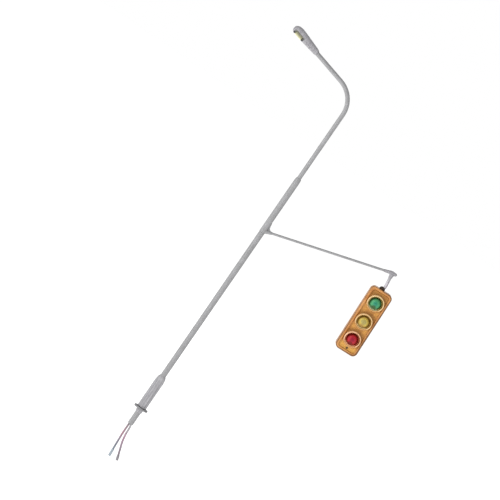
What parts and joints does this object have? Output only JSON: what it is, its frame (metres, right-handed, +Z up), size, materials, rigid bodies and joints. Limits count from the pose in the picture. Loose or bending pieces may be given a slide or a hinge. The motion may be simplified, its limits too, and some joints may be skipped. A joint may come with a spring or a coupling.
{
  "type": "model signal mast",
  "caption": "Hollow scale-model mast on a board flange, with a street lamp on its bent top and a side arm that hangs a three-light traffic signal.",
  "frame": {"origin": "centre of the board flange's underside, where the mast stands on the layout board and its tail goes down through the hole", "axes": "+Z up the mast, +X towards the side arm and its signal, the lamp is towards -X, and the signal's lights face -Y"},
  "size_m": [0.0593, 0.005, 0.1161],
  "materials": {
    "painted_tube": "satin light grey paint on thin metal tube",
    "dark_metal": "dark grey, slightly worn at the rim",
    "grey_moulding": "matt lavender-grey moulded plastic",
    "black_moulding": "matt brown-black",
    "orange_moulding": "satin orange-tan paint with darker recesses",
    "cream_moulding": "satin cream",
    "lens_green": "clear tinted dome",
    "lens_amber": "clear tinted dome",
    "lens_red": "clear tinted dome",
    "lamp_window": "translucent warm white, lit",
    "led_body": "pale moulded LED body",
    "circuit_board": "green lacquered board",
    "red_lead": "thin red-mauve wire enamel",
    "grey_lead": "thin grey-mauve wire enamel",
    "blue_tip": "pale blue sleeve end",
    "tinned_tip": "dull tinned end",
    "copper_wire": "enamelled copper"
  },
  "bodies": {
    "mast": {"mast_tube": "painted_tube", "base_ferrule": "grey_moulding", "board_flange": "dark_metal", "lead_plug": "black_moulding", "lead_left": "red_lead", "lead_tip_left": "blue_tip", "lead_right": "grey_lead", "lead_tip_right": "tinned_tip", "mast_feed_wires": "copper_wire"},
    "arm": {"tee_sleeve": "painted_tube", "arm_tube": "painted_tube", "arm_end_fitting": "grey_moulding", "arm_feed_wires": "copper_wire"},
    "lamp": {"top_tube": "painted_tube", "top_feed_wires": "copper_wire", "lamp_cap": "grey_moulding", "lamp_tray": "grey_moulding", "lamp_window": "lamp_window", "lamp_pad_inner": "black_moulding", "lamp_pad_outer": "black_moulding", "lamp_board": "circuit_board"},
    "hanger": {"hanger_stem": "grey_moulding"},
    "signal": {"hanger_knuckle": "black_moulding", "knuckle_pin": "dark_metal", "signal_housing": "orange_moulding", "signal_back_cover": "orange_moulding", "visor_green": "cream_moulding", "bezel_green": "black_moulding", "lens_green": "lens_green", "led_green": "led_body", "visor_amber": "cream_moulding", "bezel_amber": "black_moulding", "lens_amber": "lens_amber", "led_amber": "led_body", "visor_red": "cream_moulding", "bezel_red": "black_moulding", "lens_red": "lens_red", "led_red": "led_body", "signal_board": "circuit_board", "housing_screw": "dark_metal"}
  },
  "joints": [
    {"name": "arm_turn", "type": "hinge", "parent": "mast", "child": "arm", "pos_m": [0, 0, 0.0561], "axis": [0, 0, 1], "range_deg": [-90, 90]},
    {"name": "lamp_turn", "type": "hinge", "parent": "arm", "child": "lamp", "pos_m": [0, 0, 0.0654], "axis": [0, 0, 1], "range_deg": [-90, 90]},
    {"name": "hanger_turn", "type": "hinge", "parent": "arm", "child": "hanger", "pos_m": [0.03332, 0, 0.0594], "axis": [-0.1132, 0, 0.9936], "range_deg": [-90, 90]},
    {"name": "signal_swing", "type": "hinge", "parent": "hanger", "child": "signal", "pos_m": [0.03332, 0, 0.0594], "axis": [0, 1, 0], "range_deg": [-35, 35]}
  ]
}
